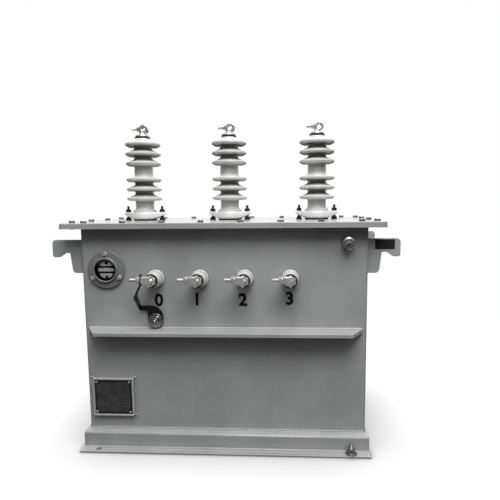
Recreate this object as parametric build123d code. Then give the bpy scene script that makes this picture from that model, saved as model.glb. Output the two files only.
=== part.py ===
from build123d import *
from math import acos, cos, sin
import os

os.makedirs("parts", exist_ok=True)

# The origin is on the floor, midway between the four base holes; the front faces -Y.

# Tank
tank_width = 980
tank_depth = 480
wall_height = 713
wall_plate = 4
tank_corner_radius = 12
floor_plate = 5

# Rim and bolted cover
rim_overhang = 52
rim_thickness = 6
rim_inner_ledge = 10
gasket_thickness = 8
gasket_width = 34
cover_sheet = 5
cover_corner_radius = 15
cover_edge_radius = 3
lip_setback = 1
lip_clearance = 2

# Base rails, folded to a Z section
rail_height = 55
rail_sheet = 5
rail_bend_radius = 8
rail_end_overhang = 9
ledge_projection = 30
ledge_underlap = 45
foot_width = 38
base_hole_radius = 9
base_hole_inset = 59
base_hole_setback = 19

# Stiffening bars across the front and back walls
stiffener_top = 426
stiffener_thickness = 12
stiffener_depth = 71
stiffener_end_inset = 14
stiffener_taper = 44

# Lifting lugs on the side walls
lug_thickness = 12
lug_top_drop = 40
lug_inset = 19
lug_reach = 109
lug_height = 117
lug_corner_radius = 14
hook_tip_width = 23
hook_tip_drop = 61
notch_width = 39
notch_height = 15
notch_slope = 22
notch_radius = 5
gusset_taper = 8

# High-voltage bushings, heights above the cover
hv_pitch = 334
base_gasket_radius = 44
base_gasket_thickness = 5
core_radius = 35.5
spigot_radius = 31
spigot_length = 60
spigot_clearance = 1
foot_radius = 38
cement_clearance = 0.3
collar_radius = 45
collar_height = 5
collar_fillet = 7
shed_radius = 67
shed_rise = 15
shed_drop = 9
shed_undercut_radius = 58
shed_edge = 7
shed_edge_radius = 3
shed_root_radius = 3
shed_pitch = 36
shed_group_gap = 61
sheds_per_group = 3
lowest_shed = 85.5
crown_height = 21.5
crown_radius = 31

# Clamp flange of a high-voltage bushing
flange_height = 33
flange_stud_offset = 67
flange_end_radius = 16
flange_middle_radius = 52
flange_dish_height = 24
flange_edge = 3
flange_chamfer = 6

# Top terminal of a high-voltage bushing
top_washer_radius = 29
top_washer_thickness = 6
cap_radius = 28
cap_height = 10
cap_bevel = 4
terminal_neck_radius = 11
eye_centre_height = 31
eye_offset = 7
eye_radius = 17
eye_hole_radius = 7
eye_width = 24
hv_stud_radius = 6
hv_stud_reach = 40

# Low-voltage bushings on the front wall
lv_count = 4
lv_pitch = 153
lv_height = 602
lv_base_radius = 30
lv_base_length = 15
lv_waist_radius = 23
lv_waist_length = 8
lv_shed_radius = 28
lv_shed_length = 12
lv_nose_radius = 23
lv_nose_length = 27
lv_edge_radius = 4
lv_spigot_radius = 17
lv_spigot_length = 30
lv_washer_radius = 23
lv_washer_thickness = 4
lv_nut_size = 34
lv_nut_thickness = 9
lv_rod_radius = 9
lv_clamp_depth = 24
lv_clamp_top = 18
lv_clamp_foot = 4
lv_clamp_point = 19
lv_clamp_right = 4
lv_clamp_left = 24
lv_clamp_radius = 2
lv_stud_radius = 6
lv_stud_rise = 7
lv_stud_length = 36
lv_shoulder_radius = 7

# Neutral strap and its earthing boss
strap_thickness = 3
strap_width = 22
strap_hole_clearance = 0.5
strap_end_rise = 20
strap_end_radius = 5
strap_knee_drop = 50
strap_knee_lean = 22
strap_foot_lean = 11
strap_foot_height = 16
strap_corner_rise = 36
strap_bend_radius = 10
strap_sweep_radius = 40
boss_radius = 20
boss_thickness = 8
boss_hole_radius = 7
boss_clearance = 29
boss_offset = 4
strap_lug_radius = 26

# Oil level gauge
gauge_x = -401
gauge_height = 631
gauge_flange_radius = 64
gauge_flange_thickness = 10
gauge_flange_edge = 2
bezel_radius = 42
bezel_height = 9
bezel_edge = 3
window_radius = 37
window_clearance = 0.2
window_thickness = 5
sight_hole_radius = 30

# Rating plate on its folded bracket
bracket_x = -395
bracket_height = 177
bracket_width = 147
bracket_tall = 137
bracket_depth = 14
bracket_sheet = 3
bracket_corner_radius = 4
bracket_lip = 5
bracket_recess = 4
rating_gap = 3
rating_thickness = 1.5

# Pressure relief valve
valve_x = 421
valve_height = 723
valve_hex_size = 40
valve_hex_thickness = 9
valve_body_radius = 15
valve_body_length = 14
valve_cap_radius = 20
valve_cap_length = 12
valve_cap_dome = 5
pull_eye_radius = 4.5
pull_eye_length = 9
pull_ring_radius = 11
pull_wire_radius = 1.6
pull_ring_clearance = 0.3

# Levels and faces that the pieces share
tank_bottom = rail_height
wall_bottom = tank_bottom + floor_plate
rim_bottom = wall_bottom + wall_height
rim_top = rim_bottom + rim_thickness
cover_underside = rim_top + gasket_thickness
cover_top = cover_underside + cover_sheet
front_face = -tank_depth / 2
side_face = tank_width / 2


def outline(*corners):
    """Closed face through (x, y, radius) corners; a radius of 0 leaves a corner sharp."""
    face = make_face(Polyline(*[(x, y) for x, y, _ in corners], close=True))
    for x, y, radius in corners:
        if radius > 0:
            face = fillet(face.vertices().sort_by_distance((x, y))[0], radius)
    return face


def plan_ring(width, depth, radius, thickness):
    """Rounded rectangular ring in plan, measured over its outside."""
    outside = RectangleRounded(width, depth, radius)
    inside = RectangleRounded(width - 2 * thickness, depth - 2 * thickness, radius - thickness)
    return outside - inside


def standing(shape, height):
    return Pos(0, 0, height) * shape


def facing_front(x, height, shape):
    """Puts a shape made about +Z so that it stands out of the front wall."""
    return Pos(x, front_face, height) * Rot(X=90) * shape


def save(node, shape):
    export_step(shape, f"parts/{node}.step")


# Tank: two folded half shells that meet at the middle of each side, on a floor plate
def tank_half():
    ring = plan_ring(tank_width, tank_depth, tank_corner_radius, wall_plate)
    front_half = Pos(0, -tank_depth / 2) * Rectangle(tank_width, tank_depth)
    return standing(extrude(ring & front_half, wall_height), wall_bottom)


def front_shell():
    shell = tank_half()
    for _, x in lv_positions():
        shell -= facing_front(x, lv_height, Cylinder(lv_spigot_radius + spigot_clearance, 4 * wall_plate))
    return shell


def tank_floor():
    plan = RectangleRounded(tank_width, tank_depth, tank_corner_radius)
    return standing(extrude(plan, floor_plate), tank_bottom)


# Rim: a flat frame welded on top of the walls, with the cover and its gasket above it
def rim_flange():
    width = tank_width + 2 * rim_overhang
    depth = tank_depth + 2 * rim_overhang
    ledge = wall_plate + rim_inner_ledge
    plan = RectangleRounded(width, depth, cover_corner_radius)
    plan -= Rectangle(tank_width - 2 * ledge, tank_depth - 2 * ledge)
    return standing(extrude(plan, rim_thickness), rim_bottom)


cover_width = tank_width + 2 * (rim_overhang - lip_setback)
cover_depth = tank_depth + 2 * (rim_overhang - lip_setback)


def cover_gasket():
    inset = 2 * (cover_sheet + lip_clearance)
    plan = Rectangle(cover_width - inset, cover_depth - inset)
    hole = inset + 2 * gasket_width
    plan -= Rectangle(cover_width - hole, cover_depth - hole)
    return standing(extrude(plan, gasket_thickness), rim_top)


def hv_positions():
    return [(number, (number - 2) * hv_pitch) for number in (1, 2, 3)]


def cover_plate():
    plan = RectangleRounded(cover_width, cover_depth, cover_corner_radius)
    pan = extrude(plan, gasket_thickness + cover_sheet)
    pan = fillet(pan.faces().sort_by(Axis.Z)[-1].edges(), cover_edge_radius)
    inside = Rectangle(cover_width - 2 * cover_sheet, cover_depth - 2 * cover_sheet)
    pan -= extrude(inside, gasket_thickness)
    for _, x in hv_positions():
        bore = Cylinder(spigot_radius + spigot_clearance, 4 * cover_sheet)
        pan -= Pos(x, 0, gasket_thickness + cover_sheet) * bore
    return standing(pan, rim_top)


# Base rail: ledge under the floor plate, upright web and foot with the mounting holes
web_front = front_face - ledge_projection
foot_front = web_front - foot_width


def base_rail():
    inner_bend = rail_bend_radius - rail_sheet
    ledge_back = front_face + ledge_underlap
    section = outline(
        (ledge_back, rail_height, 0),
        (web_front, rail_height, rail_bend_radius),
        (web_front, rail_sheet, inner_bend),
        (foot_front, rail_sheet, 0),
        (foot_front, 0, 0),
        (web_front + rail_sheet, 0, rail_bend_radius),
        (web_front + rail_sheet, rail_height - rail_sheet, inner_bend),
        (ledge_back, rail_height - rail_sheet, 0),
    )
    rail = extrude(Plane.YZ * section, tank_width / 2 + rail_end_overhang, both=True)
    for side in (-1, 1):
        x = side * (side_face + rail_end_overhang - base_hole_inset)
        y = web_front - base_hole_setback
        rail -= Pos(x, y, 0) * Cylinder(base_hole_radius, 4 * rail_sheet)
    return rail


# Stiffener: a flat bar on edge to the wall, its free corners cut back
def wall_stiffener():
    wall_end = side_face - stiffener_end_inset
    free_end = wall_end - stiffener_taper
    free_edge = front_face - stiffener_depth
    plan = make_face(Polyline(
        (-wall_end, front_face),
        (wall_end, front_face),
        (free_end, free_edge),
        (-free_end, free_edge),
        close=True,
    ))
    return standing(extrude(plan, stiffener_thickness), stiffener_top - stiffener_thickness)


# Lifting lug: a hooked plate with a sling notch that slopes up from the hook's tip to the gusset
def lifting_lug(side, end):
    notch_out = lug_reach - hook_tip_width
    notch_in = notch_out - notch_width
    notch_top = notch_height - hook_tip_drop
    gusset_foot = notch_in - gusset_taper
    profile = outline(
        (0, 0, 0),
        (lug_reach, 0, lug_corner_radius),
        (lug_reach, -hook_tip_drop, lug_corner_radius / 2),
        (notch_out, -hook_tip_drop, notch_radius),
        (notch_out - notch_slope, notch_top, notch_radius),
        (notch_in, notch_top, notch_radius),
        (gusset_foot, -lug_height, lug_corner_radius),
        (0, -lug_height, 0),
    )
    plate = extrude(Plane.XZ * profile, lug_thickness / 2, both=True)
    if side < 0:
        plate = mirror(plate, about=Plane.YZ)
    y = end * (tank_depth / 2 - lug_inset - lug_thickness / 2)
    return Pos(side * side_face, y, rim_bottom - lug_top_drop) * plate


def shed_heights():
    lower = [lowest_shed + i * shed_pitch for i in range(sheds_per_group)]
    upper_start = lower[-1] + shed_group_gap
    return lower + [upper_start + i * shed_pitch for i in range(sheds_per_group)]


porcelain_height = shed_heights()[-1] + crown_height


# High-voltage porcelain: a turned core with sheds, a cemented foot and a spigot into the tank
def hv_porcelain():
    corners = [
        (0, -spigot_length, 0),
        (spigot_radius, -spigot_length, 0),
        (spigot_radius, base_gasket_thickness, 0),
        (foot_radius, base_gasket_thickness, 0),
        (foot_radius, flange_height, 0),
        (collar_radius, flange_height, 0),
        (collar_radius, flange_height + collar_height, 0),
        (core_radius, flange_height + collar_height + collar_fillet, collar_fillet / 2),
    ]
    for tip in shed_heights():
        corners += [
            (core_radius, tip - shed_drop, shed_root_radius),
            (shed_undercut_radius, tip - shed_drop, 2 * shed_root_radius),
            (shed_radius, tip - shed_edge / 2, shed_edge_radius),
            (shed_radius, tip + shed_edge / 2, shed_edge_radius),
        ]
        if tip < shed_heights()[-1]:
            corners += [(core_radius, tip + shed_rise, shed_root_radius)]
    corners += [(crown_radius, porcelain_height, 0), (0, porcelain_height, 0)]
    return revolve(Plane.XZ * outline(*corners), Axis.Z)


def hv_base_gasket():
    ring = Circle(base_gasket_radius) - Circle(spigot_radius + spigot_clearance)
    return extrude(ring, base_gasket_thickness)


# Clamp flange: an oval with two bolt ears, dished below so that the ears stand off the cover
def hv_base_flange():
    turn = acos((flange_middle_radius - flange_end_radius) / flange_stud_offset)
    middle = (flange_middle_radius * cos(turn), flange_middle_radius * sin(turn))
    end = (flange_stud_offset + flange_end_radius * cos(turn), flange_end_radius * sin(turn))
    waist = Polyline(
        middle, end, (end[0], -end[1]), (middle[0], -middle[1]),
        (-middle[0], -middle[1]), (-end[0], -end[1]), (-end[0], end[1]), (-middle[0], middle[1]),
        close=True,
    )
    plan = make_face(waist) + Circle(flange_middle_radius)
    for side in (-1, 1):
        plan += Pos(side * flange_stud_offset, 0) * Circle(flange_end_radius)
    reach = flange_stud_offset + flange_end_radius
    dish = make_face(Polyline(
        (0, base_gasket_thickness),
        (base_gasket_radius, base_gasket_thickness),
        (reach, flange_dish_height),
        (reach, flange_dish_height + flange_edge),
        (reach - flange_chamfer, flange_height),
        (0, flange_height),
        close=True,
    ))
    flange = extrude(plan, flange_height) & revolve(Plane.XZ * dish, Axis.Z)
    return flange - Cylinder(foot_radius + cement_clearance, 4 * flange_height)


def hv_top_washer():
    return standing(extrude(Circle(top_washer_radius), top_washer_thickness), porcelain_height)


# Top terminal: a turned cap, a conductor eye and a side stud
def hv_terminal():
    seat = porcelain_height + top_washer_thickness
    eye_height = seat + eye_centre_height
    turned = make_face(Polyline(
        (0, 0),
        (cap_radius, 0),
        (cap_radius, cap_height - cap_bevel),
        (cap_radius - cap_bevel, cap_height),
        (terminal_neck_radius, cap_height),
        (terminal_neck_radius, eye_centre_height),
        (0, eye_centre_height),
        close=True,
    ))
    body = standing(revolve(Plane.XZ * turned, Axis.Z), seat)
    eye_place = Pos(eye_offset, 0, eye_height) * Rot(X=90)
    body += eye_place * Cylinder(eye_radius, eye_width)
    stud_length = hv_stud_reach + eye_offset
    stud = Rot(Y=-90) * extrude(Circle(hv_stud_radius), stud_length)
    body += Pos(eye_offset, 0, eye_height) * stud
    return body - eye_place * Cylinder(eye_hole_radius, 2 * eye_width)


def lv_positions():
    middle = (lv_count - 1) / 2
    return [(number, (number - middle) * lv_pitch) for number in range(lv_count)]


lv_porcelain_length = lv_base_length + lv_waist_length + lv_shed_length + lv_nose_length
lv_clamp_back = lv_porcelain_length + lv_washer_thickness + lv_nut_thickness
lv_clamp_middle = lv_clamp_back + lv_clamp_depth / 2


# Low-voltage porcelain, turned about its own axis from the wall outwards
def lv_porcelain():
    waist_start = lv_base_length
    shed_start = waist_start + lv_waist_length
    nose_start = shed_start + lv_shed_length
    profile = outline(
        (0, -lv_spigot_length, 0),
        (lv_spigot_radius, -lv_spigot_length, 0),
        (lv_spigot_radius, 0, 0),
        (lv_base_radius, 0, 0),
        (lv_base_radius, waist_start, lv_edge_radius),
        (lv_waist_radius, waist_start, 0),
        (lv_waist_radius, shed_start, 0),
        (lv_shed_radius, shed_start, lv_edge_radius),
        (lv_shed_radius, nose_start, lv_edge_radius),
        (lv_nose_radius, lv_porcelain_length, 0),
        (0, lv_porcelain_length, 0),
    )
    return revolve(Plane.XZ * profile, Axis.Z)


def lv_washer():
    return standing(extrude(Circle(lv_washer_radius), lv_washer_thickness), lv_porcelain_length)


# Low-voltage terminal: a large hexagon nut with a corner down, the rod's end, and a clamp block
# that holds the side stud. Where a strap seats on the block, a plain shoulder carries it and the
# stud starts beyond it.
def lv_terminal(packing):
    start = lv_porcelain_length + lv_washer_thickness
    nut = Rot(Z=90) * RegularPolygon(lv_nut_size / 2, 6, major_radius=False)
    body = standing(extrude(nut, lv_nut_thickness), start)
    body += standing(extrude(Circle(lv_rod_radius), lv_clamp_depth / 2), lv_clamp_back)
    block = outline(
        (-lv_clamp_left, lv_clamp_top, lv_clamp_radius),
        (lv_clamp_right, lv_clamp_top, lv_clamp_radius),
        (lv_clamp_right, -lv_clamp_point, lv_clamp_radius),
        (-lv_clamp_left, -lv_clamp_foot, lv_clamp_radius),
    )
    body += standing(extrude(block, lv_clamp_depth), lv_clamp_back)
    stud = extrude(Circle(lv_stud_radius), lv_clamp_left + packing + lv_stud_length)
    if packing:
        stud += extrude(Circle(lv_shoulder_radius), lv_clamp_left + packing)
    return body + Pos(0, lv_stud_rise, lv_clamp_middle) * Rot(Y=-90) * stud


# Earthing boss on the wall, between the first low-voltage bushing and the stiffener
boss_x = lv_positions()[0][1] - boss_offset
boss_height = stiffener_top + boss_clearance


def strap_boss():
    ring = Circle(boss_radius) - Circle(boss_hole_radius)
    return facing_front(boss_x, boss_height, extrude(ring, boss_thickness))


# Neutral strap: one bent flat bar from the first stud back to the boss on the wall
def neutral_strap():
    stud_x = lv_positions()[0][1] - lv_clamp_left
    stud_y = front_face - lv_clamp_middle
    stud_z = lv_height + lv_stud_rise
    wall_y = front_face - boss_thickness
    half = strap_width / 2
    knee_z = lv_height - strap_knee_drop
    corner_z = boss_height + strap_corner_rise
    inner_x = stud_x - strap_knee_lean
    foot_x = inner_x - strap_foot_lean
    bent = make_face(Polyline(
        (stud_x, stud_z + strap_end_rise),
        (stud_x, stud_z - half),
        (inner_x, knee_z),
        (foot_x, corner_z),
        (foot_x - strap_thickness, corner_z),
        (inner_x - strap_thickness, knee_z),
        (stud_x - strap_thickness, stud_z - half),
        (stud_x - strap_thickness, stud_z + strap_end_rise),
        close=True,
    ))
    leg = extrude(Plane.XZ * bent, tank_depth, both=True)
    side_view = outline(
        (stud_y - half, stud_z + strap_end_rise, strap_end_radius),
        (stud_y - half, knee_z, strap_bend_radius),
        (wall_y - strap_thickness, corner_z, 0),
        (wall_y, corner_z, 0),
        (wall_y, corner_z + strap_foot_height, 0),
        (stud_y + half, knee_z + half, strap_bend_radius),
        (stud_y + half, stud_z + strap_end_rise, strap_end_radius),
    )
    side_view -= Pos(stud_y, stud_z) * Circle(lv_shoulder_radius + strap_hole_clearance)
    leg &= extrude(Plane.YZ * side_view, tank_width, both=True)
    lug = Pos(boss_x, boss_height) * Circle(strap_lug_radius)
    lug += outline(
        (foot_x - strap_thickness, corner_z, 0),
        (foot_x - strap_thickness, corner_z + strap_foot_height, 0),
        (boss_x + strap_lug_radius, corner_z + strap_foot_height, strap_sweep_radius),
        (boss_x + strap_lug_radius, boss_height, 0),
        (boss_x - strap_lug_radius, boss_height, 0),
        (boss_x - strap_lug_radius, corner_z, strap_bend_radius),
    )
    lug -= Pos(boss_x, boss_height) * Circle(boss_hole_radius)
    return leg + Pos(0, wall_y, 0) * extrude(Plane.XZ * lug, strap_thickness)


# Oil level gauge: a bolted flange with a raised bezel that holds the window
def gauge_ring():
    flange = extrude(Circle(gauge_flange_radius), gauge_flange_thickness)
    flange = chamfer(flange.edges().sort_by(Axis.Z)[-1], gauge_flange_edge)
    bezel = extrude(Circle(bezel_radius), bezel_height)
    bezel = chamfer(bezel.edges().sort_by(Axis.Z)[-1], bezel_edge)
    bezel -= extrude(Circle(window_radius), bezel_height)
    ring = flange + standing(bezel, gauge_flange_thickness)
    ring -= Cylinder(sight_hole_radius, 4 * gauge_flange_thickness)
    return facing_front(gauge_x, gauge_height, ring)


def gauge_window():
    glass = extrude(Circle(window_radius - window_clearance), window_thickness)
    return facing_front(gauge_x, gauge_height, standing(glass, gauge_flange_thickness))


# Rating plate, and the folded tray whose raised lip frames it
rating_seat = bracket_depth - bracket_recess


def rating_plate_bracket():
    tray = extrude(RectangleRounded(bracket_width, bracket_tall, bracket_corner_radius), bracket_depth)
    hollow = Rectangle(bracket_width - 2 * bracket_sheet, bracket_tall - 2 * bracket_sheet)
    tray -= extrude(hollow, rating_seat - bracket_sheet)
    recess = Rectangle(bracket_width - 2 * bracket_lip, bracket_tall - 2 * bracket_lip)
    tray -= standing(extrude(recess, bracket_recess), rating_seat)
    return facing_front(bracket_x, bracket_height, tray)


def rating_plate():
    border = 2 * (bracket_lip + rating_gap)
    plan = RectangleRounded(bracket_width - border, bracket_tall - border, bracket_corner_radius)
    return facing_front(bracket_x, bracket_height, standing(extrude(plan, rating_thickness), rating_seat))


# Pressure relief valve: hexagon, body, domed cap and an eye that carries the pull ring
valve_cap_front = valve_hex_thickness + valve_body_length + valve_cap_length
pull_eye_centre = valve_cap_front + pull_eye_length / 2


def relief_valve_body():
    hexagon = RegularPolygon(valve_hex_size / 2, 6, major_radius=False)
    body = extrude(hexagon, valve_hex_thickness)
    body += standing(extrude(Circle(valve_body_radius), valve_body_length), valve_hex_thickness)
    cap = extrude(Circle(valve_cap_radius), valve_cap_length)
    cap = fillet(cap.edges().sort_by(Axis.Z)[-1], valve_cap_dome)
    body += standing(cap, valve_hex_thickness + valve_body_length)
    body += standing(extrude(Circle(pull_eye_radius), pull_eye_length), valve_cap_front)
    bore = Cylinder(pull_wire_radius + pull_ring_clearance, 4 * pull_eye_radius)
    body -= Pos(0, 0, pull_eye_centre) * Rot(Y=90) * bore
    return facing_front(valve_x, valve_height, body)


def relief_valve_ring():
    drop = pull_ring_radius + pull_ring_clearance
    ring = Pos(0, -drop, pull_eye_centre) * Torus(pull_ring_radius, pull_wire_radius)
    return facing_front(valve_x, valve_height, ring)


save("tank_front_shell", front_shell())
save("tank_back_shell", mirror(tank_half(), about=Plane.XZ))
save("tank_floor", tank_floor())
save("rim_flange", rim_flange())
save("cover_gasket", cover_gasket())
save("cover_plate", cover_plate())

rail = base_rail()
save("front_base_rail", rail)
save("back_base_rail", mirror(rail, about=Plane.XZ))
stiffener = wall_stiffener()
save("front_stiffener", stiffener)
save("back_stiffener", mirror(stiffener, about=Plane.XZ))
for side_name, side in (("left", -1), ("right", 1)):
    for end_name, end in (("front", -1), ("back", 1)):
        save(f"lifting_lug_{end_name}_{side_name}", lifting_lug(side, end))

porcelain = hv_porcelain()
flange = hv_base_flange()
terminal = hv_terminal()
base_gaskets = []
top_washers = []
for number, x in hv_positions():
    place = Pos(x, 0, cover_top)
    save(f"hv_porcelain_{number}", place * porcelain)
    save(f"hv_base_flange_{number}", place * flange)
    save(f"hv_terminal_{number}", place * terminal)
    base_gaskets.append(place * hv_base_gasket())
    top_washers.append(place * hv_top_washer())
save("hv_base_gaskets", Compound(children=base_gaskets))
save("hv_top_washers", Compound(children=top_washers))

lv_washers = []
for number, x in lv_positions():
    packing = strap_thickness if number == 0 else 0
    save(f"lv_porcelain_{number}", facing_front(x, lv_height, lv_porcelain()))
    save(f"lv_terminal_{number}", facing_front(x, lv_height, lv_terminal(packing)))
    lv_washers.append(facing_front(x, lv_height, lv_washer()))
save("lv_washers", Compound(children=lv_washers))
save("neutral_strap", neutral_strap())
save("strap_boss", strap_boss())

save("gauge_ring", gauge_ring())
save("gauge_window", gauge_window())
save("rating_plate_bracket", rating_plate_bracket())
save("rating_plate", rating_plate())
save("relief_valve_body", relief_valve_body())
save("relief_valve_ring", relief_valve_ring())
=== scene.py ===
import random
from math import acos, atan2, cos, pi, radians, sin, sqrt, tan

import bpy
from mathutils import Matrix, Vector


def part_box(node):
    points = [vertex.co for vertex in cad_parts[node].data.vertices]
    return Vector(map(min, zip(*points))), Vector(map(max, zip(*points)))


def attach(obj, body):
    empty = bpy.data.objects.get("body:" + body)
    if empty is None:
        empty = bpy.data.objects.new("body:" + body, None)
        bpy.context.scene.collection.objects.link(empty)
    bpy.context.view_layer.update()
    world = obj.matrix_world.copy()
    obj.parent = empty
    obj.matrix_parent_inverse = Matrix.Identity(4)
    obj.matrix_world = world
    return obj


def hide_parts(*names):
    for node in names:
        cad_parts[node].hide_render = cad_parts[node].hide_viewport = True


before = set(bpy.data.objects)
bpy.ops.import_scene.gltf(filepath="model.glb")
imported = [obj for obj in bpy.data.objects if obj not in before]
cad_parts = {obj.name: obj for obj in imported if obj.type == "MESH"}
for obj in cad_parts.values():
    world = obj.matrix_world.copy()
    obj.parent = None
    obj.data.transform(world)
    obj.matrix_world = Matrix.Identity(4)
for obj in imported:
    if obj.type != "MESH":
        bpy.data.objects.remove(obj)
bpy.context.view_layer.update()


# ---- Tank shell and floor plate
# Two half shells of 4 mm steel sheet, folded at the corners and welded together at the middle
# of each side, then welded down onto a floor plate. Everything is painted grey once welded.
shell_low, shell_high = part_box("tank_front_shell")
front_wall = shell_low.y
side_wall = shell_high.x
wall_foot, wall_top = shell_low.z, shell_high.z
paint_grey = (0.345, 0.349, 0.351, 1)
# Lighter grey for worn specks and chipped edges; along the edges it is also a painted highlight.
worn_and_highlit_grey = (0.60, 0.602, 0.604, 1)
paint_dust = (0.50, 0.50, 0.49, 1)
# Near-black colour painted into corners and crevices as shade.
painted_corner_shade = (0.11, 0.11, 0.108, 1)


def add_node(finish, kind, setup=(), **inputs):
    """Adds one node to a finish; inputs go to sockets of those names, as values or as links."""
    node = finish.node_tree.nodes.new(kind)
    for name, value in dict(setup).items():
        setattr(node, name, value)
    for name, value in inputs.items():
        socket = node.inputs[int(name[1:])] if name[0] == "_" else node.inputs[name.replace("_", " ")]
        if isinstance(value, bpy.types.NodeSocket):
            finish.node_tree.links.new(value, socket)
        else:
            socket.default_value = value
    return node


def start_finish(name, colour, roughness, metallic=0.0):
    finish = bpy.data.materials.new(name)
    finish.use_nodes = True
    shader = finish.node_tree.nodes["Principled BSDF"]
    shader.inputs["Base Color"].default_value = colour
    shader.inputs["Roughness"].default_value = roughness
    shader.inputs["Metallic"].default_value = metallic
    return finish, shader


def blend_colour(finish, share, first, second, how="MIX"):
    """A colour that goes from first to second by share."""
    mix = add_node(finish, "ShaderNodeMix", {"data_type": "RGBA", "blend_type": how})
    for slot, value in ((0, share), (6, first), (7, second)):
        if isinstance(value, bpy.types.NodeSocket):
            finish.node_tree.links.new(value, mix.inputs[slot])
        else:
            mix.inputs[slot].default_value = value
    return mix.outputs[2]


def spread(finish, value, low, high, to_low=0.0, to_high=1.0):
    """Stretches a value between low and high to another range, and clamps it."""
    return add_node(finish, "ShaderNodeMapRange", Value=value, From_Min=low, From_Max=high,
                    To_Min=to_low, To_Max=to_high).outputs["Result"]


def noise(finish, place, scale, detail=3.0, roughness=0.5):
    return add_node(finish, "ShaderNodeTexNoise", Vector=place, Scale=scale, Detail=detail,
                    Roughness=roughness).outputs["Fac"]


def tank_paint(name, grey, worn_and_highlight, gloss=0.34):
    """Sprayed grey enamel: faint cloudiness, runs, dust where it lies level, painted shade darkening
    the corners, paint worn thin along the edges and lightened there by a painted highlight, and the skin of a
    sprayed coat."""
    finish, shader = start_finish(name, grey, gloss)
    shader.inputs["Coat Weight"].default_value = 0.4
    shader.inputs["Coat Roughness"].default_value = 0.12
    link = finish.node_tree.links.new
    place = add_node(finish, "ShaderNodeTexCoord").outputs["Object"]
    shape = add_node(finish, "ShaderNodeNewGeometry")
    clouds = noise(finish, place, 5.5, 5.0, 0.6)
    specks = noise(finish, place, 240.0, 2.0)
    fall = add_node(finish, "ShaderNodeMapping", Vector=place)
    fall.inputs["Scale"].default_value = (46, 46, 2.2)
    runs = noise(finish, fall.outputs["Vector"], 1.0, 4.0, 0.55)
    deeper = tuple(channel * 0.86 for channel in grey[:3]) + (1,)
    lighter = tuple(channel * 1.1 for channel in grey[:3]) + (1,)
    coat = blend_colour(finish, spread(finish, clouds, 0.3, 0.7), deeper, lighter)
    streaked = tuple(channel * 0.9 for channel in grey[:3]) + (1,)
    coat = blend_colour(finish, spread(finish, runs, 0.5, 0.82, 0, 0.55), coat, streaked)
    coat = blend_colour(finish, spread(finish, specks, 0.62, 0.78, 0, 0.15), coat, worn_and_highlight)
    # Painted shade: AO darkens the enamel towards near black in corners, creases and crevices.
    shade_occlusion = add_node(finish, "ShaderNodeAmbientOcclusion", {"samples": 6}, Distance=0.016)
    corners = spread(finish, shade_occlusion.outputs["AO"], 0.75, 0.25, 0, 0.6)
    coat = blend_colour(finish, corners, coat, painted_corner_shade)
    # Sharp edges are lightened in chipped patches: partly worn paint, partly a painted highlight along the
    # edges.
    soft = add_node(finish, "ShaderNodeBevel", {"samples": 4}, Radius=0.0016)
    bend = add_node(finish, "ShaderNodeVectorMath", {"operation": "DOT_PRODUCT"},
                    _0=soft.outputs["Normal"], _1=shape.outputs["Normal"])
    edge = spread(finish, bend.outputs["Value"], 0.985, 0.86)
    chips_and_edge_highlight = add_node(finish, "ShaderNodeMath", {"operation": "MULTIPLY"}, _0=edge,
                     _1=spread(finish, noise(finish, place, 70.0, 4.0, 0.6), 0.42, 0.62, 0.25, 0.9))
    coat = blend_colour(finish, chips_and_edge_highlight.outputs["Value"], coat, worn_and_highlight)
    upright = add_node(finish, "ShaderNodeSeparateXYZ", Vector=shape.outputs["Normal"]).outputs["Z"]
    dust = add_node(finish, "ShaderNodeMath", {"operation": "MULTIPLY"},
                    _0=spread(finish, upright, 0.55, 0.98),
                    _1=spread(finish, clouds, 0.25, 0.7, 0.2, 0.6))
    link(blend_colour(finish, dust.outputs["Value"], coat, paint_dust), shader.inputs["Base Color"])
    sheen = add_node(finish, "ShaderNodeMath", {"operation": "MULTIPLY_ADD"},
                     _0=dust.outputs["Value"], _1=0.15,
                     _2=spread(finish, specks, 0.3, 0.7, gloss - 0.05, gloss + 0.06))
    link(sheen.outputs["Value"], shader.inputs["Roughness"])
    peel = add_node(finish, "ShaderNodeBump", Height=noise(finish, place, 520.0, 2.0),
                    Strength=0.16, Distance=0.0006)
    dents = add_node(finish, "ShaderNodeBump", Height=noise(finish, place, 7.0, 2.0),
                     Strength=0.22, Distance=0.004, Normal=peel.outputs["Normal"])
    link(dents.outputs["Normal"], shader.inputs["Normal"])
    return finish


def dress_node(node, finish, edge=0.0):
    """Gives a CAD node its finish, and rounds its sharp edges a little."""
    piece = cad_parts[node]
    piece.data.materials.clear()
    piece.data.materials.append(finish)
    if edge:
        weld = piece.modifiers.new("joined_corners", "WELD")
        weld.merge_threshold = 0.00002
        bevel = piece.modifiers.new("broken_edges", "BEVEL")
        bevel.width = edge
        bevel.segments = 2
        bevel.limit_method = "ANGLE"
        bevel.angle_limit = radians(40)
        bevel.harden_normals = True


tank_grey = tank_paint("tank_grey_enamel", paint_grey, worn_and_highlit_grey)
dress_node("tank_front_shell", tank_grey)
dress_node("tank_back_shell", tank_grey)
dress_node("tank_floor", tank_grey, 0.0008)


def skin(body, rings, place=None, closed=False):
    """Stretches a skin over a row of rings of points, and caps the ends unless it closes on itself."""
    corners, faces = body
    first = len(corners)
    count = len(rings[0])
    for points in rings:
        corners.extend(place @ Vector(p) if place else Vector(p) for p in points)
    last = len(rings) if closed else len(rings) - 1
    for row in range(last):
        here = first + row * count
        there = first + ((row + 1) % len(rings)) * count
        for step in range(count):
            beside = (step + 1) % count
            faces.append((here + step, here + beside, there + beside, there + step))
    if not closed:
        faces.append(tuple(range(first + count - 1, first - 1, -1)))
        end = first + (len(rings) - 1) * count
        faces.append(tuple(range(end, end + count)))


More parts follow.
